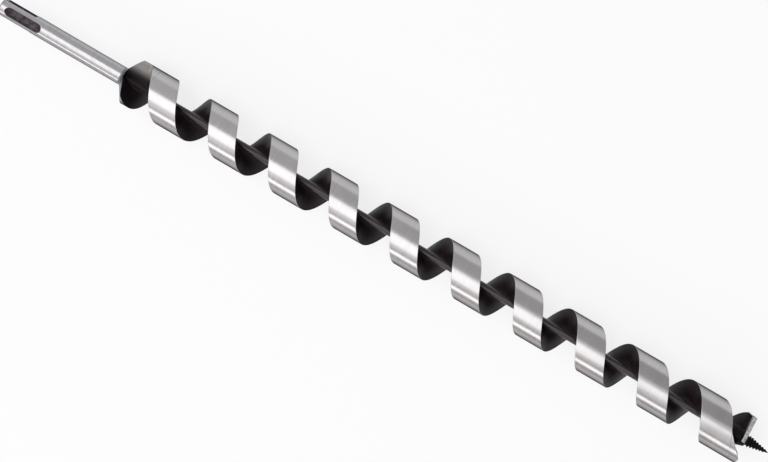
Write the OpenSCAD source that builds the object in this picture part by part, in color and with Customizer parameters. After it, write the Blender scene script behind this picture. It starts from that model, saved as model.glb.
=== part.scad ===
// Auger bit for timber: a slotted shank, a shoulder, a helical flight round a
// straight core, and a head with a cutting lip, a spur and a lead screw.
// The axis is X, from the centre of the butt end at 0 to the tip of the screw.
// A locking groove of the shank opens upwards, along +Z.

/* [Shank] */
// Diameter of the shank
shank_d = 10; // [8:0.5:13]
// Length of the shank, from the butt end to the shoulder
shank_l = 76; // [50:1:160]
// Chamfer round the butt end
butt_chamfer = 1; // [0.4:0.1:1.6]
// Distance from the butt end to each locking groove
lock_groove_start = 3.7; // [2:0.1:6]
// Length of each locking groove
lock_groove_l = 22.4; // [16:0.2:28]
// Width of each locking groove at the surface
lock_groove_w = 5; // [4:0.1:5.4]
// Depth of each locking groove
lock_groove_depth = 1.7; // [1.4:0.1:2]
// Length of each drive groove along its floor, from the butt end
drive_groove_l = 17.4; // [12:0.2:22]
// Width of each drive groove
drive_groove_w = 5; // [3:0.1:5.4]
// Depth of each drive groove
drive_groove_depth = 1.2; // [0.8:0.1:1.6]
// Radius of the sloping end that the cutter leaves in a drive groove
drive_runout_r = 4.5; // [2:0.1:8]

/* [Shoulder] */
// Angle between the shoulder's cone and the axis
cone_angle = 55; // [40:1:75]
// Length of the shoulder, from the shank to the start of the flight
shoulder_l = 17; // [14:0.5:24]
// Radius of the fillet between the shank and the cone
neck_fillet_r = 2; // [0.8:0.1:3]
// Width of the ring that is left on the cone where the flute starts
flute_margin = 1; // [0.8:0.1:2]
// Angle over which the flute comes to its full depth
runout_angle = 62; // [40:1:90]
// How far the flute's first wall stands towards the tip, off the helix
flute_lag = 2; // [0:0.1:3]

/* [Flight] */
// Diameter of the flight
flight_d = 26; // [20:0.5:34]
// Advance of the flight in one turn
pitch = 36.2; // [30:0.1:44]
// Width of the land along the axis
land_w = 16.4; // [13:0.1:20]
// Thickness of the ground band on the land
land_depth = 0.4; // [0.3:0.1:1.2]
// Diameter of the core
core_d = 4.3; // [3.4:0.1:6]
// Radius of the fillets between the core and the flight
root_fillet_r = 1.2; // [0.6:0.1:2]
// How far the wall that faces the tip falls back towards the shank at the core
tip_wall_lean = 3.2; // [0:0.1:5]
// Direction of the tip-facing edge where the flight starts, from +Y towards +Z
flight_angle = 254.6; // [0:0.1:360]

/* [Head] */
// Length over all, from the butt end to the tip of the screw
overall_l = 460; // [300:1:600]
// Angle from the helix to the lip, round the axis at the lip's plane
lip_lead_angle = 153; // [120:1:160]
// Width of the ground lip along the axis
lip_w = 2.6; // [1.5:0.1:4]
// How far the lip's outer corner stands inside the head's full radius
lip_side_relief = 1; // [0:0.1:1.5]
// Thickness of the lip in front of the flight's end
lip_t = 1.2; // [0.8:0.1:2.4]
// How far the ground lip reaches past the axis, over the hub
lip_reach = 2.5; // [0:0.1:3]
// Fall of the end face from the lip to the spur
lip_relief = 4; // [2:0.1:5]
// Extra width of the land towards the shank in the last turn
last_turn_extra_w = 1.2; // [0:0.1:2]
// Further width of the head towards the shank, at the lip
head_extra_w = 2.6; // [0:0.1:4]
// Extra radius of the head over the flight
head_swell = 0.4; // [0:0.1:0.8]
// Thickness of the spur, inwards from the land
spur_t = 3; // [2:0.1:4]
// Distance of the spur's point behind the lip
spur_setback = 0; // [0:0.1:1.5]
// Height of the bevel inside the spur's edge
spur_bevel = 1.2; // [0.4:0.1:2]
// Diameter of the hub at its widest place
hub_d = 9.6; // [7:0.1:12]
// Length of the hub's flare, from the core to its widest place
hub_flare_l = 17; // [10:0.5:22]
// Length of the hub's nose, from its widest place to the screw
hub_nose_l = 4.2; // [3:0.1:6]

/* [Lead screw] */
// Length of the screw
screw_l = 12.5; // [8:0.1:18]
// Diameter of the screw over its thread at the hub
screw_d = 7; // [5:0.1:8]
// Diameter of the screw's point
screw_point_d = 0.5; // [0.3:0.1:1]
// Height of the thread at the hub
thread_h = 0.9; // [0.4:0.05:1.2]
// Height of the thread at the point
thread_end_h = 0.3; // [0.1:0.05:0.4]
// Advance of the thread in one turn
thread_pitch = 1.6; // [1.4:0.05:2]
// Width of the thread at its root
thread_w = 1.3; // [0.6:0.05:1.5]
// Distance from the hub to the first thread, and from the last to the point
thread_margin = 0.6; // [0.4:0.1:1]

/* [Hidden] */
$fn = 96;

turn = 360;
quarter = turn / 4;
half = turn / 2;
fillet_share = 1 - cos(quarter / 2);
// Overrun of every cut past the surface that it opens
overrun = 1;
// Least thickness at which a wedge starts
feather = 0.3;
// Straight steps in the quarter circle at a groove's end
groove_arc_steps = 9;
// Straight steps in the fillet at the neck
neck_arc_steps = 6;

ground_steel = "#c9c7c5";
bright_steel = "#dcdbd8";
blued_steel = "#7f8496";
black_steel = "#332e30";

shank_r = shank_d / 2;
flight_r = flight_d / 2;
core_r = core_d / 2;
hub_r = hub_d / 2;
screw_r = screw_d / 2;

neck_x = shank_l - neck_fillet_r * tan(cone_angle / 2);
shoulder_end_x = shank_l + shoulder_l;
cone_end_x = shank_l + (flight_r - shank_r) / tan(cone_angle);
flute_start_x = shank_l + flute_margin;
lip_x = overall_l - screw_l;
hub_x = lip_x - hub_nose_l;
flare_x = hub_x - hub_flare_l;
web_r = flight_r - land_depth;
spur_r = flight_r - spur_t;
head_r = flight_r + head_swell;

// Rings of the flight stand in planes through the axis, one every few degrees
rings_a_turn = 30;
first_angle = flight_angle + turn * feather / pitch;
lip_angle = flight_angle + turn * (lip_x - shoulder_end_x) / pitch + lip_lead_angle;
ring_count = ceil((lip_angle - first_angle) * rings_a_turn / turn);
ring_step = (lip_angle - first_angle) / ring_count;
// Vertices this much further out keep a faceted bore clear of the round core
facet_share = 1 / cos(ring_step / 2);

// Angles before the lip at which the head's forms start and end
swell_from_angle = 150;
swell_full_angle = 50;
widen_from_angle = 1100;
widen_full_angle = 260;
side_relief_angle = 60;
relief_angle = 170;
spur_from_angle = 258;
spur_to_angle = 146;
spur_fall_angle = 160;
// Steepness of the spur's two ends, in turns of the flight
spur_rise_share = 2.05;
spur_fall_share = 3;
lean_angle = 90;
round_angle = 8;

function clip(v, low, high) = max(low, min(high, v));
function ramp(a, from, to) = (1 - cos(half * clip((a - from) / (to - from), 0, 1))) / 2;
function mix(a, b, share) = a + (b - a) * share;
function ring_angle(i) = first_angle + i * ring_step;
function ring_at(points, a) = [for (p = points) [p[0], p[1] * cos(a), p[1] * sin(a)]];

// Tip-facing edge of the land, and the wall below it, at an angle round the axis
function edge_x(a) = shoulder_end_x + pitch * (a - flight_angle) / turn;
function end_face_x(a) = lip_x - lip_relief * (lip_angle - a) / relief_angle;
function swell(a) = ramp(a, lip_angle - swell_from_angle, lip_angle - swell_full_angle);
function extra_w(a) = head_extra_w * swell(a)
    + last_turn_extra_w * ramp(a, lip_angle - widen_from_angle, lip_angle - widen_full_angle);
function lean(a) = tip_wall_lean * ramp(a, flight_angle, flight_angle + lean_angle);
function tip_wall_x(a, r, out) =
    min(end_face_x(a), edge_x(a) - lean(a) * (flight_r - r) / (flight_r - core_r) + out);
function back_wall_x(a, out) =
    max(shoulder_end_x, edge_x(a) - land_w - extra_w(a) - out);
function outer_r(a) = flight_r + head_swell * swell(a);
function tip_edge_r(a) =
    outer_r(a) - lip_side_relief * ramp(a, lip_angle - side_relief_angle, lip_angle);

// Radius of what the flight stands on: the core, then the hub's flare and nose
function root_r(x) =
    x < flare_x ? core_r
    : x < hub_x ? mix(core_r, hub_r, (x - flare_x) / hub_flare_l)
    : mix(hub_r, screw_r, clip((x - hub_x) / hub_nose_l, 0, 1));

function tip_root(a) =
    let (toe = tip_wall_x(a, core_r, root_fillet_r), r = root_r(toe) * facet_share)
    [[tip_wall_x(a, r + root_fillet_r, 0), r + root_fillet_r],
     [tip_wall_x(a, core_r, root_fillet_r * fillet_share), r + root_fillet_r * fillet_share],
     [toe, r]];
function back_root(a) =
    let (toe = back_wall_x(a, root_fillet_r), r = root_r(toe) * facet_share)
    [[toe, r],
     [back_wall_x(a, root_fillet_r * fillet_share), r + root_fillet_r * fillet_share],
     [back_wall_x(a, 0), r + root_fillet_r]];
function bore_point(a) =
    let (toes = [back_wall_x(a, root_fillet_r), tip_wall_x(a, core_r, root_fillet_r)],
         gap = feather / 3,
         x = hub_x > toes[0] + gap && hub_x < toes[1] - gap ? hub_x : (toes[0] + toes[1]) / 2)
    [x, root_r(x) * facet_share];

function flight_ring(a) = concat(
    [[tip_wall_x(a, web_r, 0), tip_edge_r(a) - land_depth], [tip_wall_x(a, spur_r, 0), spur_r]],
    tip_root(a), [bore_point(a)], back_root(a),
    [[back_wall_x(a, 0), outer_r(a) - land_depth]]);
flight_ring_apex = 5;

function land_ring(a) =
    [[tip_wall_x(a, flight_r, 0), tip_edge_r(a)],
     [tip_wall_x(a, web_r, 0), tip_edge_r(a) - land_depth],
     [back_wall_x(a, 0), outer_r(a) - land_depth],
     [back_wall_x(a, 0), outer_r(a)]];

// The spur's edge rises from the land, runs level behind the lip and falls again
function spur_line_x(a) = min(
    edge_x(lip_angle - spur_from_angle)
        + spur_rise_share * pitch * (a - lip_angle + spur_from_angle) / turn,
    lip_x - spur_setback,
    lip_x - spur_setback - spur_fall_share * pitch * (a - lip_angle + spur_fall_angle) / turn);
function spur_edge_x(a) =
    (spur_line_x(a - round_angle) + spur_line_x(a) + spur_line_x(a + round_angle)) / 3;
function spur_ring(a) =
    let (foot = tip_wall_x(a, flight_r, 0) + feather, edge = max(foot, spur_edge_x(a)))
    [[tip_wall_x(a, spur_r, 0), spur_r],
     [tip_wall_x(a, web_r, 0), outer_r(a) - land_depth],
     [tip_wall_x(a, flight_r, 0), outer_r(a)],
     [edge, outer_r(a)],
     [max(foot, edge - spur_bevel), spur_r]];
spur_first = round((lip_angle - spur_from_angle - first_angle) / ring_step);
spur_last = round((lip_angle - spur_to_angle - first_angle) / ring_step);

// The flute in the shoulder: its floor comes in from outside the bar
flute_full_angle = flight_angle - turn + turn * (land_w - flute_margin) / pitch;
flute_from_angle = flute_full_angle - runout_angle;
flute_top_r = flight_r + root_fillet_r + 2 * overrun;
flute_ring_count = ceil((flight_angle - flute_from_angle) * rings_a_turn / turn) + 1;
function flute_floor_r(a) =
    mix(flight_r + overrun / 2, core_r, ramp(a, flute_from_angle, flute_full_angle));
function flute_ring(a) =
    let (lag = flute_lag * (1 - ramp(a, flight_angle - quarter, flight_angle)),
         near = max(flute_start_x, edge_x(a) + lag), far = edge_x(a) + pitch - land_w,
         floor_r = flute_floor_r(a), out = root_fillet_r * fillet_share)
    [[near, flute_top_r], [near, floor_r + root_fillet_r], [near + out, floor_r + out],
     [near + root_fillet_r, floor_r], [far - root_fillet_r, floor_r], [far - out, floor_r + out],
     [far, floor_r + root_fillet_r], [far, flute_top_r]];

// The thread winds round the screw's cone and gets lower towards the point
thread_rings_a_turn = 16;
thread_turns = (screw_l - 2 * thread_margin - thread_w) / thread_pitch;
thread_ring_count = ceil(thread_turns * thread_rings_a_turn);
screw_root_r = screw_r - thread_h;
function screw_cone_r(x) = mix(screw_root_r, screw_point_d / 2, (x - lip_x) / screw_l);
function thread_ring(a) =
    let (x = lip_x + thread_margin + thread_w / 2 + thread_pitch * a / turn,
         facet = 1 / cos(half * thread_turns / thread_ring_count))
    [[x - thread_w / 2, screw_cone_r(x - thread_w / 2) * facet],
     [x, screw_cone_r(x) + mix(thread_h, thread_end_h, (x - lip_x) / screw_l)],
     [x + thread_w / 2, screw_cone_r(x + thread_w / 2) * facet]];

// A closed solid through rings of points, each ring in a plane through the axis
module loft(rings, apex = 0, flip = false) {
    n = len(rings);
    m = len(rings[0]);
    sides = [for (i = [0:n - 2], j = [0:m - 1], k = [0, 1])
        let (a = i * m + j, b = i * m + (j + 1) % m, c = a + m, d = b + m)
        flip ? (k == 0 ? [a, c, b] : [b, c, d]) : (k == 0 ? [a, c, d] : [a, d, b])];
    first_cap = [for (j = [1:m - 2]) [apex, (apex + j) % m, (apex + j + 1) % m]];
    last_cap = [for (f = first_cap) [for (v = [f[2], f[1], f[0]]) v + (n - 1) * m]];
    polyhedron([for (ring = rings, p = ring) p], concat(sides, first_cap, last_cap));
}

module along_x(x, turned = 0) {
    translate([x, 0, 0]) rotate([turned, 0, 0]) rotate([0, quarter, 0]) children();
}

// A profile of [place along X, radius] points turned round the axis
module turned_profile(points) {
    along_x(0) rotate_extrude() polygon([for (p = points) [p[1], p[0]]]);
}

// A groove cut by a ball that runs along the shank, opening along +Z
module locking_groove() {
    floor_r = shank_r - lock_groove_depth;
    side_r = sqrt(pow(shank_r, 2) - pow(lock_groove_w / 2, 2));
    centre_r = (pow(shank_r, 2) - pow(floor_r, 2)) / (2 * (side_r - floor_r));
    ball_r = centre_r - floor_r;
    reach = sqrt(pow(ball_r, 2) - pow(centre_r - shank_r, 2));
    from_x = lock_groove_start + reach;
    to_x = lock_groove_start + lock_groove_l - reach;
    arc = [for (i = [0:groove_arc_steps]) quarter * i / groove_arc_steps];
    translate([0, 0, centre_r])
        turned_profile(concat([for (a = arc) [from_x - ball_r * cos(a), ball_r * sin(a)]],
                              [for (a = arc) [to_x + ball_r * sin(a), ball_r * cos(a)]]));
}

// A flat-bottomed groove that is open at the butt end, opening along +Z
module drive_groove() {
    floor_r = shank_r - drive_groove_depth;
    arc = [for (i = [0:groove_arc_steps]) quarter * i / groove_arc_steps];
    translate([0, drive_groove_w / 2, 0])
        rotate([quarter, 0, 0])
            linear_extrude(height = drive_groove_w)
                polygon(concat([[-overrun, floor_r + drive_runout_r], [-overrun, floor_r]],
                               [for (a = arc) [drive_groove_l + drive_runout_r * sin(a),
                                               floor_r + drive_runout_r * (1 - cos(a))]]));
}

module shank() {
    color(ground_steel)
        difference() {
            turned_profile([[0, 0], [0, shank_r - butt_chamfer], [butt_chamfer, shank_r],
                            [neck_x, shank_r], [neck_x, 0]]);
            for (side = [0, 1]) rotate([side * half, 0, 0]) locking_groove();
            for (side = [0, 1]) rotate([quarter + side * half, 0, 0]) drive_groove();
        }
}

module neck_fillet() {
    arc = [for (i = [0:neck_arc_steps]) let (a = cone_angle * i / neck_arc_steps)
        [neck_x + neck_fillet_r * sin(a), shank_r + neck_fillet_r * (1 - cos(a))]];
    color(blued_steel)
        turned_profile(concat([[shank_l, 0], [neck_x, 0]], arc, [[shank_l, shank_r]]));
}

module shoulder() {
    color(black_steel)
        difference() {
            turned_profile([[shank_l, 0], [shank_l, shank_r], [cone_end_x, flight_r],
                            [shoulder_end_x, flight_r], [shoulder_end_x, 0]]);
            loft([for (i = [0:flute_ring_count])
                let (a = flute_from_angle + i * turn / rings_a_turn) ring_at(flute_ring(a), a)]);
        }
}

module core() {
    color(black_steel) along_x(shoulder_end_x) cylinder(h = flare_x - shoulder_end_x, r = core_r);
}

module flight() {
    color(black_steel)
        loft([for (i = [0:ring_count]) ring_at(flight_ring(ring_angle(i)), ring_angle(i))],
             apex = flight_ring_apex);
}

module land() {
    color(ground_steel)
        loft([for (i = [0:ring_count]) ring_at(land_ring(ring_angle(i)), ring_angle(i))]);
}

module spur() {
    color(ground_steel)
        loft([for (i = [spur_first:spur_last]) ring_at(spur_ring(ring_angle(i)), ring_angle(i))],
             flip = true);
}

// The ground lip stands on the flight's end and on a flat of the hub
module cutting_lip() {
    end_w = lip_x - back_wall_x(lip_angle, 0);
    inner_edge_r = head_r - lip_side_relief * (1 - lip_w / end_w);
    color(bright_steel)
        rotate([lip_angle, 0, 0])
            intersection() {
                translate([0, head_r, 0])
                    rotate([quarter, 0, 0])
                        linear_extrude(height = head_r + lip_reach)
                            polygon([[lip_x - lip_w, 0], [lip_x, 0], [lip_x, lip_t],
                                     [lip_x - lip_w + lip_t / 2, lip_t]]);
                along_x(lip_x - lip_w)
                    cylinder(h = lip_w, r1 = inner_edge_r, r2 = head_r - lip_side_relief);
            }
}

module screw_hub() {
    color(black_steel)
        difference() {
            turned_profile([[flare_x, 0], [flare_x, core_r], [hub_x, hub_r], [lip_x, screw_r],
                            [lip_x, 0]]);
            rotate([lip_angle, 0, 0])
                translate([lip_x - lip_w, -lip_reach, 0])
                    cube([lip_w + overrun, lip_reach + hub_d, hub_d]);
        }
}

module lead_screw() {
    color(black_steel)
        along_x(lip_x) cylinder(h = screw_l, r1 = screw_root_r, r2 = screw_point_d / 2);
}

module screw_thread() {
    color(black_steel)
        loft([for (i = [0:thread_ring_count])
            let (a = turn * thread_turns * i / thread_ring_count) ring_at(thread_ring(a), a)]);
}

shank();
neck_fillet();
shoulder();
core();
flight();
land();
spur();
cutting_lip();
screw_hub();
lead_screw();
screw_thread();
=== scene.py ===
"""Auger bit for timber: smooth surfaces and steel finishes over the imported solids, with camera and lights."""

import math

import bmesh
import bpy
import numpy as np
from mathutils import Matrix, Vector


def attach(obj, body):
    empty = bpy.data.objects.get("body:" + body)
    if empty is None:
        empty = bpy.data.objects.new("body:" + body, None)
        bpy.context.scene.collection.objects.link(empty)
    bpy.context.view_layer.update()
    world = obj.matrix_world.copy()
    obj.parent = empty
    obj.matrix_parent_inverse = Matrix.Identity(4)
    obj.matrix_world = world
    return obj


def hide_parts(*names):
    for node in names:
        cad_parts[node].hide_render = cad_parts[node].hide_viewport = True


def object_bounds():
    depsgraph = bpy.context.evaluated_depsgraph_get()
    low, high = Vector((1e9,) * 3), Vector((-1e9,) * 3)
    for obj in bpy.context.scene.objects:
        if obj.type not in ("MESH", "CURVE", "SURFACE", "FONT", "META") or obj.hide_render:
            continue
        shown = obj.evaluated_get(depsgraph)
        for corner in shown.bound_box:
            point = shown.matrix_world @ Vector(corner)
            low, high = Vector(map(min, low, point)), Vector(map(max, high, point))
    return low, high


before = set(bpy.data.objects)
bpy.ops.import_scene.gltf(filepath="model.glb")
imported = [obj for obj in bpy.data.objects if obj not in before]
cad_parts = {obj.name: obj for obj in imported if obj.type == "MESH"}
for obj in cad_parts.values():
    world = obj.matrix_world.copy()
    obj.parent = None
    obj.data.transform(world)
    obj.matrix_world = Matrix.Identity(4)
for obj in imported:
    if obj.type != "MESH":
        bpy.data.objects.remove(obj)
cad_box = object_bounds()

MM = 0.001

# Sizes of the bit in millimetres, as in the part's source.
SHANK_L, SHANK_R = 76.0, 5.0
CONE_ANGLE, SHOULDER_L = 55.0, 17.0
FLIGHT_R, CORE_R, PITCH, LAND_W, LAND_DEPTH = 13.0, 2.15, 36.2, 16.4, 0.4
ROOT_FILLET_R, TIP_WALL_LEAN, LEAN_ANGLE = 1.2, 3.2, 90.0
FLIGHT_ANGLE, RUNOUT_ANGLE, FLUTE_MARGIN, FLUTE_LAG = 254.6, 62.0, 1.0, 2.0
OVERALL_L, SCREW_L, SCREW_R, POINT_R = 460.0, 12.5, 3.5, 0.25
LIP_LEAD_ANGLE, LIP_RELIEF, RELIEF_ANGLE = 153.0, 4.0, 170.0
HEAD_SWELL, HEAD_EXTRA_W, LAST_TURN_EXTRA_W, LIP_SIDE_RELIEF = 0.4, 2.6, 1.2, 1.0
SPUR_T, SPUR_SETBACK, SPUR_BEVEL = 3.0, 0.0, 1.2
# Angles before the lip at which the head's forms start and end, and the slopes of the spur's two ends.
SWELL_FROM, SWELL_FULL, WIDEN_FROM, WIDEN_FULL, SIDE_RELIEF_ANGLE = 150.0, 50.0, 1100.0, 260.0, 60.0
SPUR_FROM, SPUR_TO, SPUR_FALL_FROM, SPUR_ROUND_ANGLE, SPUR_RISE, SPUR_FALL = 258.0, 146.0, 160.0, 8.0, 2.05, 3.0
HUB_R, HUB_FLARE_L, HUB_NOSE_L = 4.8, 17.0, 4.2
THREAD_H, THREAD_END_H, THREAD_PITCH, THREAD_W, THREAD_MARGIN = 0.9, 0.3, 1.6, 1.3, 0.6
SHOULDER_END_X = SHANK_L + SHOULDER_L
CONE_END_X = SHANK_L + (FLIGHT_R - SHANK_R) / math.tan(math.radians(CONE_ANGLE))
FEATHER = 0.3
LIP_X = OVERALL_L - SCREW_L
HUB_X = LIP_X - HUB_NOSE_L
FLARE_X = HUB_X - HUB_FLARE_L
FIRST_ANGLE = FLIGHT_ANGLE + 360 * FEATHER / PITCH
LIP_ANGLE = FLIGHT_ANGLE + 360 * (LIP_X - SHOULDER_END_X) / PITCH + LIP_LEAD_ANGLE


# Camera

def place_camera():
    """The photograph's viewing angle: a 64.6 mm lens, 71 cm above the bit, the bit running down to the right."""
    right = (0.86103832, 0.47058557, -0.19277508)
    up = (-0.50303913, 0.84376222, -0.18712815)
    back = (0.07459653, 0.25809792, 0.96323456)
    data = bpy.data.cameras.new("camera")
    data.sensor_fit = "HORIZONTAL"
    data.sensor_width = 36.0
    data.lens = 64.565
    data.clip_start, data.clip_end = 0.05, 20.0
    camera = bpy.data.objects.new("camera", data)
    rows = [[right[i], up[i], back[i], place] for i, place in enumerate((0.288585, 0.183052, 0.687205))]
    camera.matrix_world = Matrix(rows + [[0.0, 0.0, 0.0, 1.0]])
    bpy.context.scene.collection.objects.link(camera)
    bpy.context.scene.camera = camera


# Materials

def linear(hex_colour):
    """An sRGB hex value as linear red, green, blue and 1."""
    parts = [int(hex_colour[i:i + 2], 16) / 255 for i in (1, 3, 5)]
    return tuple(c / 12.92 if c <= 0.04045 else ((c + 0.055) / 1.055) ** 2.4 for c in parts) + (1.0,)


def add(tree, kind, settings=None, links=None):
    """Adds a node: settings go to its properties or its input sockets, links join other nodes' outputs to it."""
    node = tree.nodes.new(kind)
    for key, value in (settings or {}).items():
        if isinstance(key, str) and hasattr(node, key):
            setattr(node, key, value)
        else:
            node.inputs[key].default_value = value
    for key, output in (links or {}).items():
        tree.links.new(output, node.inputs[key])
    return node


def new_material(name):
    material = bpy.data.materials.new(name)
    material.use_nodes = True
    material.node_tree.nodes.clear()
    return material, material.node_tree


# Settings of a smooth map range, and of a colour mix, whose two colours are inputs 6 and 7 and result is output 2.
SMOOTH = {"interpolation_type": "SMOOTHSTEP"}
BLEND = {"data_type": "RGBA"}


def turned_grain(tree, spacing_mm, detail=3.0):
    """Fine lines round the axis: noise that is quick along X and slow round the bar, from the line spacing."""
    place = add(tree, "ShaderNodeTexCoord")
    stretch = add(tree, "ShaderNodeMapping", {"Scale": (1 / (spacing_mm * MM), 18.0, 18.0)},
                  {"Vector": place.outputs["Object"]})
    noise = add(tree, "ShaderNodeTexNoise", {"Scale": 1.0, "Detail": detail, "Roughness": 0.6},
                {"Vector": stretch.outputs["Vector"]})
    return noise.outputs["Fac"]


def blotches(tree, size_mm, detail=3.0):
    """Soft uneven patches of a given size."""
    place = add(tree, "ShaderNodeTexCoord")
    noise = add(tree, "ShaderNodeTexNoise", {"Scale": 1 / (size_mm * MM), "Detail": detail, "Roughness": 0.55},
                {"Vector": place.outputs["Object"]})
    return noise.outputs["Fac"]


def radius_from_axis(tree):
    """Distance from the bit's axis in millimetres."""
    place = add(tree, "ShaderNodeTexCoord")
    flat = add(tree, "ShaderNodeVectorMath", {"operation": "MULTIPLY"}, {0: place.outputs["Object"]})
    flat.inputs[1].default_value = (0.0, 1 / MM, 1 / MM)
    length = add(tree, "ShaderNodeVectorMath", {"operation": "LENGTH"}, {0: flat.outputs["Vector"]})
    return length.outputs["Value"]


def finish(tree, shader):
    add(tree, "ShaderNodeOutputMaterial", None, {"Surface": shader.outputs[0]})


def ground_steel(name, light, dark, smooth, rough, spacing_mm, bump_mm, patch_mm, patch_share, patch_colour):
    """Tool steel ground on a cylindrical grinder: bright metal, with fine lines round the axis that vary
    the gloss a little and blur its reflections along the bit, and soft patches where the wheel bit less."""
    material, tree = new_material(name)
    lines = turned_grain(tree, spacing_mm)
    patches = blotches(tree, patch_mm)
    line_share = add(tree, "ShaderNodeMapRange", {**SMOOTH, "From Min": 0.3, "From Max": 0.7}, {"Value": lines})
    patch_place = add(tree, "ShaderNodeMapRange",
                      {**SMOOTH, "From Min": 0.35, "From Max": 0.7, "To Max": patch_share}, {"Value": patches})
    gloss = add(tree, "ShaderNodeMapRange",
                {**SMOOTH, "From Min": 0.25, "From Max": 0.75, "To Min": smooth, "To Max": rough}, {"Value": lines})
    lined = add(tree, "ShaderNodeMix", {**BLEND, 6: linear(dark), 7: linear(light)},
                {"Factor": line_share.outputs["Result"]})
    colour = add(tree, "ShaderNodeMix", {**BLEND, 7: linear(patch_colour)},
                 {"Factor": patch_place.outputs["Result"], 6: lined.outputs[2]})
    bump = add(tree, "ShaderNodeBump", {"Strength": 0.35, "Distance": bump_mm * MM}, {"Height": lines})
    shader = add(tree, "ShaderNodeBsdfPrincipled", {"Metallic": 1.0, "Specular Tint": linear("#3a393b")},
                 {"Base Color": colour.outputs[2], "Roughness": gloss.outputs["Result"],
                  "Normal": bump.outputs["Normal"]})
    finish(tree, shader)
    return material


def black_finish(name, low, high, smooth, rough, sheen):
    """Satin black finish baked on forged steel: near black with a purple cast and a soft even sheen, slightly
    uneven where the forging shows through. On the core it is glossier, and its lighter colour there is painted
    sheen for a thin highlight streak."""
    material, tree = new_material(name)
    patches = blotches(tree, 5.0, 5.0)
    fine = blotches(tree, 0.6, 2.0)
    share = add(tree, "ShaderNodeMapRange", {**SMOOTH, "From Min": 0.3, "From Max": 0.7}, {"Value": patches})
    gloss = add(tree, "ShaderNodeMapRange",
                {**SMOOTH, "From Min": 0.3, "From Max": 0.7, "To Min": smooth, "To Max": rough}, {"Value": patches})
    colour = add(tree, "ShaderNodeMix", {**BLEND, 6: linear(low), 7: linear(high)},
                 {"Factor": share.outputs["Result"]})
    bump = add(tree, "ShaderNodeBump", {"Strength": 0.15, "Distance": 0.05 * MM}, {"Height": fine})
    shader = add(tree, "ShaderNodeBsdfPrincipled", {"IOR": 1.5, "Specular IOR Level": sheen},
                 {"Base Color": colour.outputs[2], "Roughness": gloss.outputs["Result"],
                  "Normal": bump.outputs["Normal"]})
    finish(tree, shader)
    return material


def shoulder_finish(name):
    """The same black finish where the flute runs out, with a painted sheen: a lighter, more metallic satin grey
    towards the full diameter on the side where the flute starts, standing for the light that the run-out's floor
    reflects there, and black elsewhere."""
    material, tree = new_material(name)
    patches = blotches(tree, 4.0, 4.0)
    place = add(tree, "ShaderNodeTexCoord")
    side = add(tree, "ShaderNodeSeparateXYZ", None, {"Vector": place.outputs["Object"]})
    outward = add(tree, "ShaderNodeMapRange", {**SMOOTH, "From Min": 5.0, "From Max": 12.6},
                  {"Value": radius_from_axis(tree)})
    sideways = add(tree, "ShaderNodeMapRange", {**SMOOTH, "From Min": -3.0 * MM, "From Max": 7.5 * MM},
                   {"Value": side.outputs["Y"]})
    uneven = add(tree, "ShaderNodeMapRange", {**SMOOTH, "From Min": 0.2, "From Max": 0.8, "To Min": 0.8},
                 {"Value": patches})
    # Painted sheen: towards the full diameter and on the +Y side the black turns to a lighter, more metallic grey,
    # standing for reflected light.
    sheen_place = add(tree, "ShaderNodeMath", {"operation": "MULTIPLY"},
                 {0: outward.outputs["Result"], 1: sideways.outputs["Result"]})
    painted_sheen = add(tree, "ShaderNodeMath", {"operation": "MULTIPLY"},
               {0: sheen_place.outputs["Value"], 1: uneven.outputs["Result"]}).outputs["Value"]
    gloss = add(tree, "ShaderNodeMapRange", {**SMOOTH, "To Min": 0.42, "To Max": 0.34}, {"Value": painted_sheen})
    sheen_metal = add(tree, "ShaderNodeMapRange", {**SMOOTH, "From Min": 0.35, "To Max": 0.85}, {"Value": painted_sheen})
    colour = add(tree, "ShaderNodeMix", {**BLEND, 6: linear("#161014"), 7: linear("#a9a5a2")}, {"Factor": painted_sheen})
    bump = add(tree, "ShaderNodeBump", {"Strength": 0.15, "Distance": 0.05 * MM}, {"Height": patches})
    shader = add(tree, "ShaderNodeBsdfPrincipled", {"IOR": 1.5, "Specular IOR Level": 0.14},
                 {"Base Color": colour.outputs[2], "Roughness": gloss.outputs["Result"],
                  "Metallic": sheen_metal.outputs["Result"], "Normal": bump.outputs["Normal"]})
    finish(tree, shader)
    return material


def cone_finish(name):
    """Turned steel of the cone: bluish grey metal with lines round the axis."""
    material, tree = new_material(name)
    lines = turned_grain(tree, 0.5)
    share = add(tree, "ShaderNodeMapRange", {**SMOOTH, "From Min": 0.3, "From Max": 0.7}, {"Value": lines})
    gloss = add(tree, "ShaderNodeMapRange",
                {**SMOOTH, "From Min": 0.3, "From Max": 0.7, "To Min": 0.3, "To Max": 0.42}, {"Value": lines})
    colour = add(tree, "ShaderNodeMix", {**BLEND, 6: linear("#5b5c68"), 7: linear("#85868f")},
                 {"Factor": share.outputs["Result"]})
    bump = add(tree, "ShaderNodeBump", {"Strength": 0.3, "Distance": 0.02 * MM}, {"Height": lines})
    shader = add(tree, "ShaderNodeBsdfPrincipled", {"Metallic": 1.0},
                 {"Base Color": colour.outputs[2], "Roughness": gloss.outputs["Result"],
                  "Normal": bump.outputs["Normal"]})
    finish(tree, shader)
    return material


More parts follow.
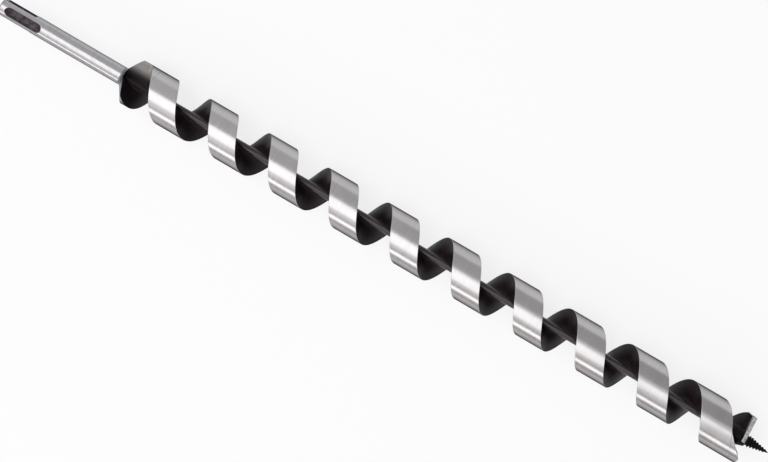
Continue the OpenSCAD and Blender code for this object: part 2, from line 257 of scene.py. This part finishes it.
def shank_finish(name):
    """Ground steel of the shank, and inside its milled grooves the dull dark scale that hardening left: a groove
    is where the surface lies inside the shank's radius, past the chamfer at the butt end."""
    material, tree = new_material(name)
    lines = turned_grain(tree, 0.35)
    patches = blotches(tree, 2.5, 4.0)
    place = add(tree, "ShaderNodeTexCoord")
    along = add(tree, "ShaderNodeSeparateXYZ", None, {"Vector": place.outputs["Object"]})
    inside = add(tree, "ShaderNodeMapRange", {**SMOOTH, "From Min": SHANK_R - 0.14, "From Max": SHANK_R - 0.04,
                                              "To Min": 1.0, "To Max": 0.0}, {"Value": radius_from_axis(tree)})
    past_chamfer = add(tree, "ShaderNodeMapRange", {**SMOOTH, "From Min": 1.02 * MM, "From Max": 1.3 * MM},
                       {"Value": along.outputs["X"]})
    groove = add(tree, "ShaderNodeMath", {"operation": "MULTIPLY"},
                 {0: inside.outputs["Result"], 1: past_chamfer.outputs["Result"]}).outputs["Value"]
    line_share = add(tree, "ShaderNodeMapRange", {**SMOOTH, "From Min": 0.3, "From Max": 0.7}, {"Value": lines})
    patch_share = add(tree, "ShaderNodeMapRange", {**SMOOTH, "From Min": 0.4, "From Max": 0.75, "To Max": 0.3},
                      {"Value": patches})
    scale_share = add(tree, "ShaderNodeMapRange", {**SMOOTH, "From Min": 0.3, "From Max": 0.7}, {"Value": patches})
    lined = add(tree, "ShaderNodeMix", {**BLEND, 6: linear("#a9a8aa"), 7: linear("#b9b8ba")},
                {"Factor": line_share.outputs["Result"]})
    bright = add(tree, "ShaderNodeMix", {**BLEND, 7: linear("#8f8e91")},
                 {"Factor": patch_share.outputs["Result"], 6: lined.outputs[2]})
    scale = add(tree, "ShaderNodeMix", {**BLEND, 6: linear("#322c2f"), 7: linear("#554d51")},
                {"Factor": scale_share.outputs["Result"]})
    colour = add(tree, "ShaderNodeMix", BLEND, {"Factor": groove, 6: bright.outputs[2], 7: scale.outputs[2]})
    shine = add(tree, "ShaderNodeMapRange",
                {**SMOOTH, "From Min": 0.25, "From Max": 0.75, "To Min": 0.16, "To Max": 0.26}, {"Value": lines})
    floor_dull = add(tree, "ShaderNodeMapRange", {**SMOOTH, "To Max": 0.5}, {"Value": groove})
    dull = add(tree, "ShaderNodeMath", {"operation": "MAXIMUM"},
               {0: shine.outputs["Result"], 1: floor_dull.outputs["Result"]})
    metal = add(tree, "ShaderNodeMapRange", {**SMOOTH, "To Min": 1.0, "To Max": 0.55}, {"Value": groove})
    bump = add(tree, "ShaderNodeBump", {"Strength": 0.3, "Distance": 0.003 * MM}, {"Height": lines})
    shader = add(tree, "ShaderNodeBsdfPrincipled", {"Specular Tint": linear("#7c7b7d")},
                 {"Base Color": colour.outputs[2], "Roughness": dull.outputs["Value"],
                  "Metallic": metal.outputs["Result"], "Normal": bump.outputs["Normal"]})
    finish(tree, shader)
    return material


def floor_paint(name):
    """Matt white card that the bit lies on. What the camera and the metal see of it is carried part of the way
    to white, so the ground reads as a white page and the bit's shadow on it stays, but faint."""
    material, tree = new_material(name)
    card = add(tree, "ShaderNodeBsdfPrincipled", {"Base Color": linear("#e8e6e8"), "Roughness": 0.9, "IOR": 1.3})
    white = add(tree, "ShaderNodeEmission", {"Color": linear("#ffffff"), "Strength": 1.0})
    ray = add(tree, "ShaderNodeLightPath")
    direct = add(tree, "ShaderNodeMath", {"operation": "MAXIMUM"},
                 {0: ray.outputs["Is Camera Ray"], 1: ray.outputs["Is Glossy Ray"]})
    seen = add(tree, "ShaderNodeMath", {"operation": "MAXIMUM"},
               {0: direct.outputs["Value"], 1: ray.outputs["Is Transmission Ray"]})
    share = add(tree, "ShaderNodeMath", {"operation": "MULTIPLY", 1: 0.78}, {0: seen.outputs["Value"]})
    shader = add(tree, "ShaderNodeMixShader", None,
                 {0: share.outputs["Value"], 1: card.outputs["BSDF"], 2: white.outputs["Emission"]})
    finish(tree, shader)
    return material


# The form of the flight, as in the part's source. An angle a runs round the axis in degrees, sizes are in mm.

def ramp(a, start, end):
    return (1 - np.cos(np.pi * np.clip((a - start) / (end - start), 0, 1))) / 2


def edge_x(a):
    return SHOULDER_END_X + PITCH * (a - FLIGHT_ANGLE) / 360


def end_face_x(a):
    return LIP_X - LIP_RELIEF * (LIP_ANGLE - a) / RELIEF_ANGLE


def swell(a):
    return ramp(a, LIP_ANGLE - SWELL_FROM, LIP_ANGLE - SWELL_FULL)


def extra_w(a):
    return HEAD_EXTRA_W * swell(a) + LAST_TURN_EXTRA_W * ramp(a, LIP_ANGLE - WIDEN_FROM, LIP_ANGLE - WIDEN_FULL)


def tip_wall_x(a, r, out):
    lean = TIP_WALL_LEAN * ramp(a, FLIGHT_ANGLE, FLIGHT_ANGLE + LEAN_ANGLE)
    return np.minimum(end_face_x(a), edge_x(a) - lean * (FLIGHT_R - r) / (FLIGHT_R - CORE_R) + out)


def back_wall_x(a, out):
    return np.maximum(SHOULDER_END_X, edge_x(a) - LAND_W - extra_w(a) - out)


def outer_r(a):
    return FLIGHT_R + HEAD_SWELL * swell(a)


def tip_edge_r(a):
    """Radius of the land's edge that faces the tip, drawn in towards the lip."""
    return outer_r(a) - LIP_SIDE_RELIEF * ramp(a, LIP_ANGLE - SIDE_RELIEF_ANGLE, LIP_ANGLE)


def root_r(x):
    """Radius of the core, the hub's flare and its nose at a place along the axis."""
    return np.interp(x, [FLARE_X, HUB_X, LIP_X], [CORE_R, HUB_R, SCREW_R])


def on_rings(x, r, a):
    """Points from places along X and radii, each row in its own half-plane at angle a round the axis."""
    turn = np.radians(np.broadcast_to(a, x.shape))
    return np.stack([x, r * np.cos(turn), r * np.sin(turn)], axis=-1) * MM


# Meshes

def link_mesh(name, points, faces, finishes, face_finish=None, sharp=32.0, body="root"):
    """Makes a closed mesh piece, smooth except at edges sharper than the given angle."""
    mesh = bpy.data.meshes.new(name)
    mesh.from_pydata(points.reshape(-1, 3), [], faces)
    for material in finishes:
        mesh.materials.append(material)
    if face_finish is not None:
        mesh.polygons.foreach_set("material_index", np.asarray(face_finish, dtype=np.int32))
    shape = bmesh.new()
    shape.from_mesh(mesh)
    bmesh.ops.remove_doubles(shape, verts=shape.verts, dist=1e-7)
    bmesh.ops.dissolve_degenerate(shape, edges=shape.edges, dist=1e-7)
    bmesh.ops.recalc_face_normals(shape, faces=shape.faces)
    shape.to_mesh(mesh)
    shape.free()
    mesh.polygons.foreach_set("use_smooth", np.ones(len(mesh.polygons), dtype=bool))
    mesh.set_sharp_from_angle(angle=math.radians(sharp))
    mesh.update()
    piece = bpy.data.objects.new(name, mesh)
    bpy.context.scene.collection.objects.link(piece)
    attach(piece, body)
    return piece


def swept_faces(rings, across, closed_path=False):
    """Quads between neighbouring rings of points, each ring closed on itself."""
    i = np.arange(rings if closed_path else rings - 1)[:, None]
    j = np.arange(across)[None, :]
    k, n = (j + 1) % across, (i + 1) % rings
    quads = np.stack([i * across + j, n * across + j, n * across + k, i * across + k], axis=-1)
    return quads.reshape(-1, 4)


def swept_piece(name, points, finishes, column_finish=None, sharp=32.0):
    """A section carried along a path: rings of points joined into a tube, each end closed by a fan."""
    rings, across = points.shape[:2]
    quads = swept_faces(rings, across)
    ends = points[[0, -1]].mean(axis=1)
    j = np.arange(across)
    first = np.stack([np.full(across, rings * across), (j + 1) % across, j], axis=-1)
    last = np.stack([np.full(across, rings * across + 1), (rings - 1) * across + j,
                     (rings - 1) * across + (j + 1) % across], axis=-1)
    index = np.zeros(len(quads) + 2 * across, dtype=np.int32)
    if column_finish is not None:
        index[:len(quads)] = np.tile(np.asarray(column_finish, dtype=np.int32), rings - 1)
    flat = np.concatenate([points.reshape(-1, 3), ends])
    return link_mesh(name, flat, quads.tolist() + first.tolist() + last.tolist(), finishes, index, sharp)


def flight_web(black):
    """The web of the flight: in each half-plane a section from the outside down the wall that faces the tip,
    round a quarter-circle fillet to the core, and back up the wall that faces the shank."""
    a = np.linspace(FIRST_ANGLE, LIP_ANGLE, 1500)[:, None]
    outside, tip_outside = outer_r(a) - LAND_DEPTH, tip_edge_r(a) - LAND_DEPTH
    down = np.linspace(0, 1, 7)[None, :]
    arc = np.radians(np.linspace(0, 90, 7))[None, 1:]
    toe_r = root_r(tip_wall_x(a, CORE_R, ROOT_FILLET_R)) * 0.995
    wall_r = tip_outside + (toe_r + ROOT_FILLET_R - tip_outside) * down
    tip_r = toe_r + ROOT_FILLET_R * (1 - np.sin(arc))
    tip_x = tip_wall_x(a, tip_r, ROOT_FILLET_R * (1 - np.cos(arc)))
    heel_r = root_r(back_wall_x(a, ROOT_FILLET_R)) * 0.995
    back_r = heel_r + ROOT_FILLET_R * (1 - np.sin(arc[:, ::-1]))
    back_x = back_wall_x(a, ROOT_FILLET_R * (1 - np.cos(arc[:, ::-1])))
    rise_r = heel_r + ROOT_FILLET_R + (outside - heel_r - ROOT_FILLET_R) * down
    x = np.concatenate([tip_wall_x(a, wall_r, 0), tip_x, back_x, back_wall_x(a, 0) + 0 * rise_r], axis=1)
    r = np.concatenate([wall_r, tip_r, back_r, rise_r], axis=1)
    return swept_piece("flight_web", on_rings(x, r, a), [black])


def ground_land(steel, black):
    """The ground band on the outside of the flight, a thin section with its two outer edges rounded."""
    a = np.linspace(FIRST_ANGLE, LIP_ANGLE, 1500)[:, None]
    tip, back = tip_wall_x(a, FLIGHT_R, 0), back_wall_x(a, 0)
    edge = np.minimum(0.12, (tip - back) / 8)
    soft = edge * (1 - math.sqrt(0.5))
    x = np.concatenate([tip, tip, tip - soft, tip - edge, tip - 2 * edge, (tip * 2 + back) / 3, (tip + back * 2) / 3,
                        back + 2 * edge, back + edge, back + soft, back, back], axis=1)
    depth, level = LAND_DEPTH + 0 * edge, 0 * edge
    sunk = np.concatenate([depth, edge, soft] + [level] * 6 + [soft, edge, depth], axis=1)
    r = tip_edge_r(a) + (outer_r(a) - tip_edge_r(a)) * (tip - x) / (tip - back) - sunk
    return swept_piece("ground_land", on_rings(x, r, a), [steel, black], [1] + [0] * 9 + [1, 1], 50.0)


def spur_tongue(steel):
    """The spur: the land's band carried forward to a line that rises, runs level and falls, bevelled inside."""
    start = LIP_ANGLE - SPUR_FROM
    a = np.linspace(start, LIP_ANGLE - SPUR_TO, 160)[:, None]

    def line(b):
        level = LIP_X - SPUR_SETBACK
        rise = edge_x(start) + SPUR_RISE * PITCH * (b - start) / 360
        fall = level - SPUR_FALL * PITCH * (b - LIP_ANGLE + SPUR_FALL_FROM) / 360
        return np.minimum(np.minimum(rise, level), fall)

    foot = tip_wall_x(a, FLIGHT_R, 0) + FEATHER
    smooth_line = sum(line(a + s) for s in np.linspace(-SPUR_ROUND_ANGLE, SPUR_ROUND_ANGLE, 9)) / 9
    edge = np.maximum(foot, smooth_line)
    inner = FLIGHT_R - SPUR_T
    top, low = outer_r(a), outer_r(a) - LAND_DEPTH
    x = np.concatenate([tip_wall_x(a, inner, 0), tip_wall_x(a, FLIGHT_R - LAND_DEPTH, 0), tip_wall_x(a, FLIGHT_R, 0),
                        edge - 0.27, edge - 0.15, edge - 0.045, edge, np.maximum(foot, edge - SPUR_BEVEL)], axis=1)
    r = np.concatenate([inner + 0 * a, low, top, top, top, top - 0.045, top - 0.15, inner + 0 * a], axis=1)
    return swept_piece("spur_tongue", on_rings(x, r, a), [steel])


def fine_thread(black):
    """The lead screw's thread: a small triangle with a rounded crest, wound round the screw's cone."""
    turns = (SCREW_L - 2 * THREAD_MARGIN - THREAD_W) / THREAD_PITCH
    a = np.linspace(0, 360 * turns, int(48 * turns))[:, None]
    x = LIP_X + THREAD_MARGIN + THREAD_W / 2 + THREAD_PITCH * a / 360
    cone = lambda place: np.interp(place, [LIP_X, OVERALL_L], [SCREW_R - THREAD_H, POINT_R])
    height = THREAD_H + (THREAD_END_H - THREAD_H) * (x - LIP_X) / SCREW_L
    offsets = np.array([[-0.5, -0.14, 0.0, 0.14, 0.5]]) * THREAD_W
    shares = np.array([[0.0, 0.86, 1.0, 0.86, 0.0]])
    r = cone(x + offsets) + height * shares - 0.01 * (shares == 0)
    return swept_piece("fine_thread", on_rings(x + offsets, r, a), [black], None, 60.0)


def shoulder_body(black, steel, cone):
    """The shoulder: round the axis, each half-plane holds a section that follows the cone and the full
    diameter, drops into the flute at its first wall, follows the flute's floor and comes up at its far wall."""
    a = np.arange(-60.0, 300.0, 0.6)[:, None]
    tan = math.tan(math.radians(CONE_ANGLE))
    full = FLIGHT_ANGLE - 360 + 360 * (LAND_W - FLUTE_MARGIN) / PITCH
    start = full - RUNOUT_ANGLE
    profile = lambda x: np.minimum(FLIGHT_R, SHANK_R + np.maximum(0, x - SHANK_L) * tan)
    floor_r = FLIGHT_R + 0.5 + (CORE_R - FLIGHT_R - 0.5) * ramp(a, start, full)
    lag = FLUTE_LAG * (1 - ramp(a, FLIGHT_ANGLE - 90, FLIGHT_ANGLE))
    near = np.clip(edge_x(a) + lag, SHANK_L + FLUTE_MARGIN, SHOULDER_END_X)
    true_far = edge_x(a) + PITCH - LAND_W
    far = np.clip(true_far, near, SHOULDER_END_X)
    cut = (a > start) & (a < FLIGHT_ANGLE)

    def surface(x):
        """Radius of the surface inside the flute: its floor, with quarter-circle fillets at both walls."""
        reach = np.minimum(x - near, true_far - x)
        out = np.clip(1 - reach / ROOT_FILLET_R, 0, 1)
        floor = floor_r + ROOT_FILLET_R * (1 - np.sqrt(1 - out ** 2))
        return np.where(cut, np.minimum(profile(x), floor), profile(x))

    share = np.linspace(0, 1, 9)[None, :]
    corner = np.clip(CONE_END_X, SHANK_L, near)
    first_x = SHANK_L + (corner - SHANK_L) * share
    second_x = corner + (near - corner) * share[:, 1:]
    bend = np.clip(CONE_END_X, near, far)
    third_x = near + (bend - near) * np.linspace(0, 1, 40)[None, :]
    fourth_x = bend + (far - bend) * (0.5 - 0.5 * np.cos(np.pi * np.linspace(0, 1, 24)[None, 1:]))
    fifth_x = far + (SHOULDER_END_X - far) * share
    inner = 0.9 * CORE_R + 0 * a
    open_end = cut & (true_far >= SHOULDER_END_X)
    fifth_r = np.where(open_end, surface(fourth_x)[:, -1:], profile(fifth_x))
    x = np.concatenate([SHANK_L + 0 * a, first_x, second_x, third_x, fourth_x, fifth_x,
                        SHOULDER_END_X + 0 * a], axis=1)
    r = np.concatenate([inner, profile(first_x), profile(second_x), surface(third_x), surface(fourth_x),
                        fifth_r, inner], axis=1)
    rings, across = x.shape
    quads = swept_faces(rings, across, closed_path=True)
    middle_r = r.reshape(-1)[quads].mean(axis=1)
    middle_x = x.reshape(-1)[quads].mean(axis=1)
    on_profile = np.abs(profile(middle_x) - middle_r) < 0.06
    index = np.where(on_profile & (middle_x > CONE_END_X), 1, np.where(on_profile & (middle_x > SHANK_L), 2, 0))
    return link_mesh("shoulder_body", on_rings(x, r, a), quads.tolist(), [black, steel, cone], index, 28.0)


# The bit

place_camera()

land_steel = ground_steel("ground_tool_steel", "#c0bebf", "#b8b6b7", 0.20, 0.26, 0.45, 0.0015, 9.0, 0.35, "#aeacae")
shank_steel = shank_finish("ground_shank_steel")
lip_steel = ground_steel("freshly_ground_edge", "#f4f3f2", "#e2e0de", 0.30, 0.42, 0.30, 0.01, 1.1, 0.75, "#8f8b89")
web_black = black_finish("baked_black_finish", "#120b0f", "#1c1318", 0.38, 0.50, 0.13)
# The core's lighter black is painted sheen for its thin highlight streak; its lower roughness and higher specular
# level give a real gloss.
core_black_and_sheen = black_finish("glossy_black_on_core_with_painted_sheen", "#1a1216", "#2a1f25", 0.20, 0.30, 0.5)
screw_black = black_finish("black_oxide_on_screw", "#080607", "#110e10", 0.46, 0.58, 0.12)
# The shoulder's black finish carries a painted sheen near the full diameter on one side.
shoulder_black_and_sheen = shoulder_finish("black_finish_with_painted_sheen")
cone_steel = cone_finish("bluish_grey_turned_steel")

web = flight_web(web_black)
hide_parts("flight")
land = ground_land(land_steel, web_black)
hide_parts("land")
spur = spur_tongue(land_steel)
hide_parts("spur")
thread = fine_thread(screw_black)
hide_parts("screw_thread")
shoulder = shoulder_body(shoulder_black_and_sheen, land_steel, cone_steel)
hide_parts("shoulder")

for node, material in (("shank", shank_steel), ("neck_fillet", cone_steel), ("core", core_black_and_sheen),
                       ("cutting_lip", lip_steel), ("screw_hub", screw_black), ("lead_screw", screw_black)):
    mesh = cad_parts[node].data
    mesh.materials.clear()
    mesh.materials.append(material)

# Floor and light

low = min(corner[2] for corner in cad_box)


def plain_floor():
    """A square of card under the bit, 3 m from the middle to each side."""
    mesh = bpy.data.meshes.new("floor")
    size = 3.0
    corners = [(-size, -size, low), (size, -size, low), (size, size, low), (-size, size, low)]
    mesh.from_pydata(corners, [], [(0, 1, 2, 3)])
    mesh.materials.append(floor_paint("matt_white_card"))
    floor = bpy.data.objects.new("floor", mesh)
    bpy.context.scene.collection.objects.link(floor)


def soft_box(name, angle, distance, width, length, radiance, tint, middle_x=0.23, yaw=0.0):
    """A soft box along the bit: angle in degrees from +Y towards +Z round the axis, sizes in metres, and turned
    in its own plane by the yaw."""
    data = bpy.data.lights.new(name, "AREA")
    data.shape = "RECTANGLE"
    data.color = linear(tint)[:3]
    data.size, data.size_y = length, width
    data.energy = radiance * math.pi * length * width
    lamp = bpy.data.objects.new(name, data)
    cos, sin = math.cos(math.radians(angle)), math.sin(math.radians(angle))
    cos_yaw, sin_yaw = math.cos(math.radians(yaw)), math.sin(math.radians(yaw))
    lamp.matrix_world = Matrix([[cos_yaw, -sin_yaw, 0.0, middle_x],
                                [-sin * sin_yaw, -sin * cos_yaw, cos, distance * cos],
                                [cos * sin_yaw, cos * cos_yaw, sin, distance * sin], [0.0, 0.0, 0.0, 1.0]])
    lamp.visible_camera = False
    bpy.context.scene.collection.objects.link(lamp)


def plain_world(strength):
    """A pale room, brighter towards the shank's end than towards the tip."""
    world = bpy.data.worlds.new("studio")
    world.use_nodes = True
    tree = world.node_tree
    tree.nodes.clear()
    place = add(tree, "ShaderNodeTexCoord")
    along = add(tree, "ShaderNodeSeparateXYZ", None, {"Vector": place.outputs["Generated"]})
    fade = add(tree, "ShaderNodeMapRange", {"From Min": -0.7, "From Max": 0.7, "To Min": 1.65 * strength,
                                            "To Max": 0.35 * strength}, {"Value": along.outputs["X"]})
    shade = add(tree, "ShaderNodeBackground", {"Color": linear("#fbf9fb")}, {"Strength": fade.outputs["Result"]})
    add(tree, "ShaderNodeOutputWorld", None, {"Surface": shade.outputs["Background"]})
    bpy.context.scene.world = world


plain_floor()
soft_box("overhead_box", 85.5, 1.1, 0.84, 1.9, 1.0, "#ffffff", -0.27, 20.0)
soft_box("wide_box", 98.0, 1.2, 1.62, 2.6, 0.46, "#ffffff")
soft_box("low_strip", 152.0, 1.0, 0.26, 2.6, 2.05, "#fffbf4")
plain_world(0.6)

bpy.context.scene.view_settings.view_transform = "Standard"
